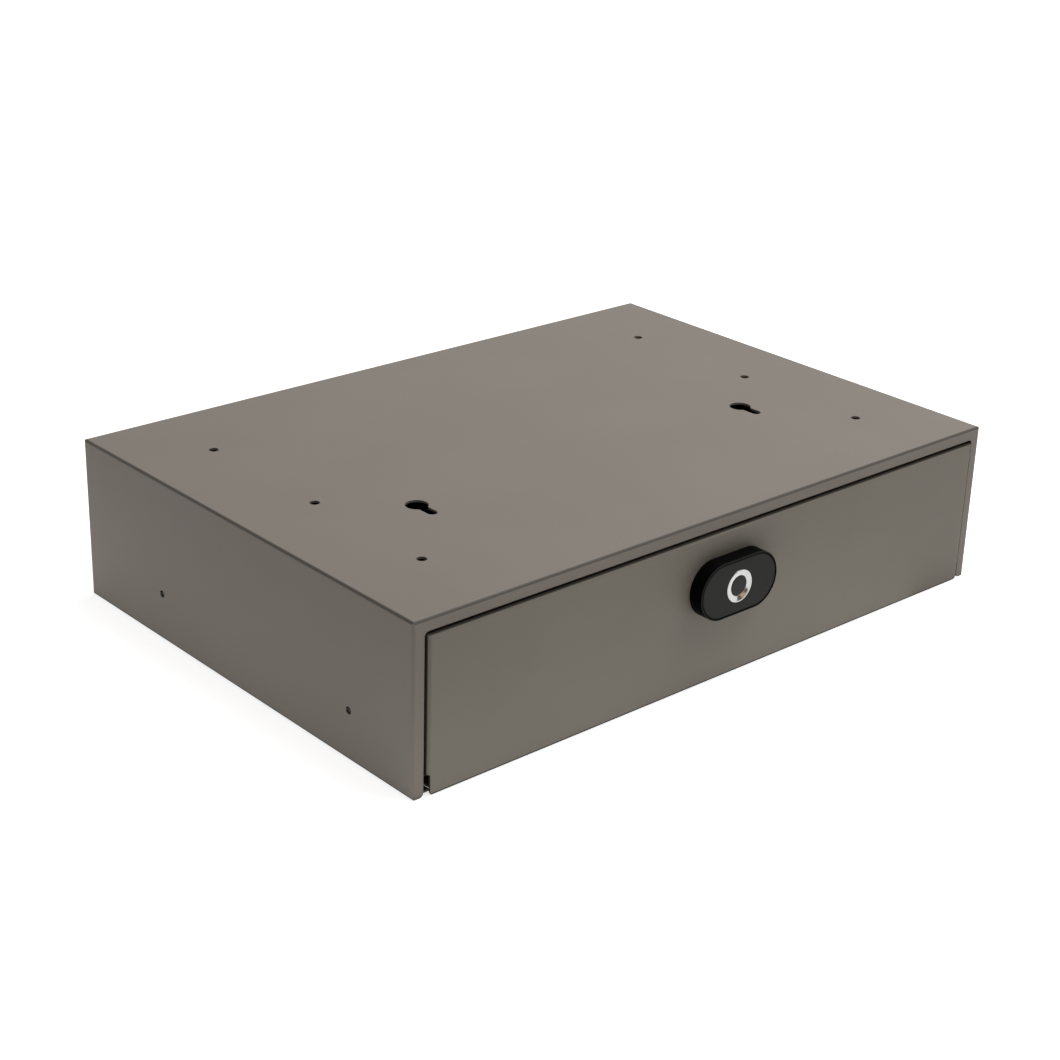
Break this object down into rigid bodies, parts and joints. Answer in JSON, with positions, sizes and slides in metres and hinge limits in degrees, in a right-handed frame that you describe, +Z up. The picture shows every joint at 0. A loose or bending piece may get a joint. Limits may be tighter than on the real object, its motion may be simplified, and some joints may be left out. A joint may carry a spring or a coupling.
{
  "type": "under desk drawer safe",
  "caption": "Low steel cabinet that hangs under a desk, with a steel drawer on ball bearing slides and a battery fingerprint lock on the drawer front.",
  "frame": {"origin": "middle of the base of the whole part's box, on the plane that the closed cabinet stands on", "axes": "+X along the drawer front to the right as seen from the front, +Y to the rear, +Z up"},
  "size_m": [0.5, 0.363, 0.113],
  "materials": {
    "cabinet_paint": "satin",
    "front_paint": "satin",
    "tray_paint": "satin",
    "zinc_strip": "satin",
    "bare_steel": "satin",
    "black_steel": "satin",
    "ball_steel": "polished",
    "ring_chrome": "polished",
    "housing_black": "satin",
    "face_charcoal": "matte",
    "case_black": "matte",
    "button_red": "gloss",
    "board_green": "gloss",
    "lead_red": "gloss",
    "ribbon_amber": "gloss",
    "motor_can": "satin",
    "gear_brass": "satin",
    "cell_sleeve": "gloss",
    "seal_rubber": "matte",
    "liner_felt": "felt"
  },
  "bodies": {
    "cabinet": {"cabinet_shell": "cabinet_paint", "rear_panel": "cabinet_paint", "rear_panel_screws": "black_steel", "strike_plate": "bare_steel", "drawer_bumpers": "seal_rubber", "slide_bracket_left": "bare_steel", "slide_bracket_right": "bare_steel", "slide_outer_left": "zinc_strip", "slide_outer_right": "zinc_strip", "cabinet_slide_screws": "black_steel"},
    "middle_left": {"slide_middle_left": "zinc_strip"},
    "middle_right": {"slide_middle_right": "zinc_strip"},
    "outer_balls_left": {"cage_outer_left": "zinc_strip", "balls_outer_left": "ball_steel"},
    "outer_balls_right": {"cage_outer_right": "zinc_strip", "balls_outer_right": "ball_steel"},
    "inner_balls_left": {"cage_inner_left": "zinc_strip", "balls_inner_left": "ball_steel"},
    "inner_balls_right": {"cage_inner_right": "zinc_strip", "balls_inner_right": "ball_steel"},
    "drawer": {"slide_inner_left": "zinc_strip", "slide_inner_right": "zinc_strip", "drawer_slide_screws": "bare_steel", "drawer_front": "front_paint", "front_nuts": "bare_steel", "drawer_tray": "tray_paint", "floor_liner": "liner_felt", "lock_gasket": "seal_rubber", "lock_housing": "housing_black", "lock_face_plate": "face_charcoal", "sensor_ring": "ring_chrome", "sensor_pad": "face_charcoal", "sensor_board": "board_green", "usb_socket": "ring_chrome", "housing_screws": "black_steel", "sensor_ribbon": "ribbon_amber", "lock_case": "case_black", "case_screws": "bare_steel", "lock_cover": "case_black", "cover_screws": "bare_steel", "main_board": "board_green", "gear_motor": "motor_can", "motor_leads": "lead_red", "battery_holder": "case_black", "batteries": "cell_sleeve", "battery_contacts": "ring_chrome", "battery_leads": "lead_red"},
    "bolt": {"latch_bolt": "bare_steel"},
    "pinion": {"drive_pinion": "gear_brass"},
    "battery_door": {"battery_cover": "case_black"},
    "button": {"setup_button": "button_red"},
    "lever_left": {"release_lever_left": "case_black"},
    "lever_right": {"release_lever_right": "case_black"}
  },
  "joints": [
    {"name": "drawer_slide", "type": "slide", "parent": "cabinet", "child": "drawer", "axis": [0, -1, 0], "range_m": [0, 0.28]},
    {"name": "middle_left_slide", "type": "slide", "parent": "cabinet", "child": "middle_left", "axis": [0, -1, 0], "range_m": [0, 0.14]},
    {"name": "outer_balls_left_slide", "type": "slide", "parent": "cabinet", "child": "outer_balls_left", "axis": [0, -1, 0], "range_m": [0, 0.07]},
    {"name": "inner_balls_left_slide", "type": "slide", "parent": "cabinet", "child": "inner_balls_left", "axis": [0, -1, 0], "range_m": [0, 0.21]},
    {"name": "middle_right_slide", "type": "slide", "parent": "cabinet", "child": "middle_right", "axis": [0, -1, 0], "range_m": [0, 0.14]},
    {"name": "outer_balls_right_slide", "type": "slide", "parent": "cabinet", "child": "outer_balls_right", "axis": [0, -1, 0], "range_m": [0, 0.07]},
    {"name": "inner_balls_right_slide", "type": "slide", "parent": "cabinet", "child": "inner_balls_right", "axis": [0, -1, 0], "range_m": [0, 0.21]},
    {"name": "bolt_slide", "type": "slide", "parent": "drawer", "child": "bolt", "axis": [0, 0, 1], "range_m": [0, 0.0085]},
    {"name": "pinion_spin", "type": "hinge", "parent": "drawer", "child": "pinion", "pos_m": [-0.038, -0.15425, 0.06], "axis": [-1, 0, 0], "range_deg": [0, 104]},
    {"name": "battery_cover_slide", "type": "slide", "parent": "drawer", "child": "battery_door", "axis": [1, 0, 0], "range_m": [0, 0.05]},
    {"name": "setup_button_press", "type": "slide", "parent": "drawer", "child": "button", "axis": [0, -1, 0], "range_m": [0, 0.0008], "stiffness_N_per_m": 300},
    {"name": "release_lever_left_tilt", "type": "hinge", "parent": "drawer", "child": "lever_left", "pos_m": [-0.235, -0.0285, 0.0333], "axis": [-1, 0, 0], "range_deg": [0, 8], "stiffness_Nm_per_rad": 0.03},
    {"name": "release_lever_right_tilt", "type": "hinge", "parent": "drawer", "child": "lever_right", "pos_m": [0.235, -0.0285, 0.0333], "axis": [1, 0, 0], "range_deg": [0, 8], "stiffness_Nm_per_rad": 0.03}
  ],
  "couplings": [
    {"joint": "middle_left_slide", "follows": "drawer_slide", "ratio": 0.5},
    {"joint": "outer_balls_left_slide", "follows": "drawer_slide", "ratio": 0.25},
    {"joint": "inner_balls_left_slide", "follows": "drawer_slide", "ratio": 0.75},
    {"joint": "middle_right_slide", "follows": "drawer_slide", "ratio": 0.5},
    {"joint": "outer_balls_right_slide", "follows": "drawer_slide", "ratio": 0.25},
    {"joint": "inner_balls_right_slide", "follows": "drawer_slide", "ratio": 0.75},
    {"joint": "pinion_spin", "follows": "bolt_slide", "rad_per_m": 200}
  ]
}
